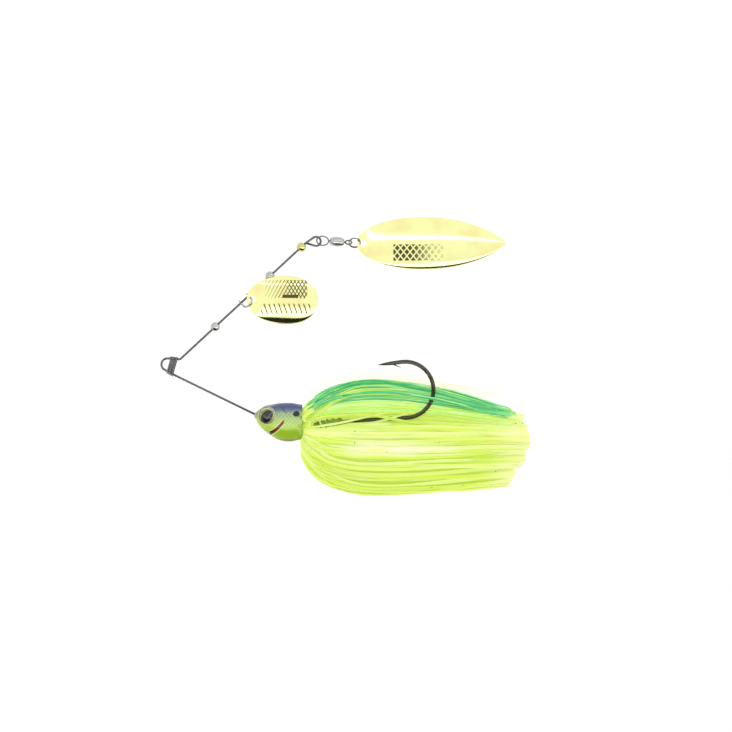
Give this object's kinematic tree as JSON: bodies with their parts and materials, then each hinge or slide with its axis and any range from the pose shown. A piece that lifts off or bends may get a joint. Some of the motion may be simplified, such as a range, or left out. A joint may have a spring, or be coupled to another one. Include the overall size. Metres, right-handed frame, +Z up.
{
  "type": "spinnerbait",
  "caption": "Bent-wire fishing lure with a painted minnow head, silicone skirt and upturned hook below, and a small oval blade and a willow-leaf blade that spin on the arm above",
  "frame": {"origin": "the middle of the line-tie loop, where the fishing line is tied", "axes": "+X runs back from the line tie towards the blade's and skirt's tails, +Z is up towards the blades, and -Y is the lure's left side"},
  "size_m": [0.127, 0.0268, 0.0958],
  "materials": {
    "frame_wire": "satin",
    "head_paint": "gloss",
    "eye_foil": "gloss",
    "eye_resin": "polished",
    "hook_nickel": "polished",
    "collar_rubber": "satin",
    "keeper_plastic": "satin",
    "skirt_green": "satin",
    "skirt_pale": "satin",
    "skirt_chartreuse": "satin",
    "bead_silver": "polished",
    "bead_gold": "polished",
    "clevis_nickel": "polished",
    "blade_gold": "polished",
    "swivel_wire": "polished",
    "swivel_chrome": "polished",
    "ring_wire": "polished"
  },
  "bodies": {
    "lure_body": {"wire_frame": "frame_wire", "line_tie_wrap": "frame_wire", "head": "head_paint", "eye_foil_left": "eye_foil", "eye_foil_right": "eye_foil", "eye_lens_left": "eye_resin", "eye_lens_right": "eye_resin", "hook": "hook_nickel", "skirt_collar": "collar_rubber", "trailer_keeper": "keeper_plastic", "skirt_green_left": "skirt_green", "skirt_green_right": "skirt_green", "skirt_pale_left": "skirt_pale", "skirt_pale_right": "skirt_pale", "skirt_chartreuse_left": "skirt_chartreuse", "skirt_chartreuse_right": "skirt_chartreuse"},
    "lower_bead": {"bead_lower": "bead_silver"},
    "clevis": {"clevis": "clevis_nickel"},
    "small_blade": {"small_blade": "blade_gold"},
    "middle_bead": {"bead_middle": "bead_silver"},
    "upper_bead": {"bead_upper": "bead_gold"},
    "swivel_front_eye": {"swivel_front_eye": "swivel_wire"},
    "swivel_barrel": {"swivel_barrel": "swivel_chrome"},
    "swivel_rear_eye": {"swivel_rear_eye": "swivel_wire"},
    "split_ring": {"split_ring": "ring_wire"},
    "willow_blade": {"willow_blade": "blade_gold"}
  },
  "joints": [
    {"name": "lower_bead_slide", "type": "slide", "parent": "lure_body", "child": "lower_bead", "axis": [0.7337, 0, 0.6794], "range_m": [-0.013, 0.0094]},
    {"name": "clevis_spin", "type": "hinge", "parent": "lure_body", "child": "clevis", "pos_m": [0.02719, 0, 0.02228], "axis": [0.7337, 0, 0.6794], "continuous": true},
    {"name": "small_blade_swing", "type": "hinge", "parent": "clevis", "child": "small_blade", "pos_m": [0.02969, -0.00257, 0.02223], "axis": [0, 1, 0], "range_deg": [-100, 20]},
    {"name": "middle_bead_slide", "type": "slide", "parent": "lure_body", "child": "middle_bead", "axis": [0.7337, 0, 0.6794], "range_m": [-0.0074, 0.0056]},
    {"name": "upper_bead_slide", "type": "slide", "parent": "lure_body", "child": "upper_bead", "axis": [0.7337, 0, 0.6794], "range_m": [-0.0056, 0]},
    {"name": "swivel_swing", "type": "hinge", "parent": "lure_body", "child": "swivel_front_eye", "pos_m": [0.0518, 0, 0.0423], "axis": [0, 1, 0], "range_deg": [-110, 30]},
    {"name": "barrel_spin", "type": "hinge", "parent": "swivel_front_eye", "child": "swivel_barrel", "pos_m": [0.05899, 0, 0.04219], "axis": [0.9981, 0, -0.0611], "continuous": true},
    {"name": "rear_eye_spin", "type": "hinge", "parent": "swivel_barrel", "child": "swivel_rear_eye", "pos_m": [0.05899, 0, 0.04219], "axis": [0.9981, 0, -0.0611], "continuous": true},
    {"name": "split_ring_swing", "type": "hinge", "parent": "swivel_rear_eye", "child": "split_ring", "pos_m": [0.06313, 0, 0.04194], "axis": [0.0468, -0.6428, 0.7646], "range_deg": [-60, 60]},
    {"name": "willow_blade_swing", "type": "hinge", "parent": "split_ring", "child": "willow_blade", "pos_m": [0.06702, 0, 0.0417], "axis": [0.0468, -0.6428, 0.7646], "range_deg": [-55, 55]}
  ]
}
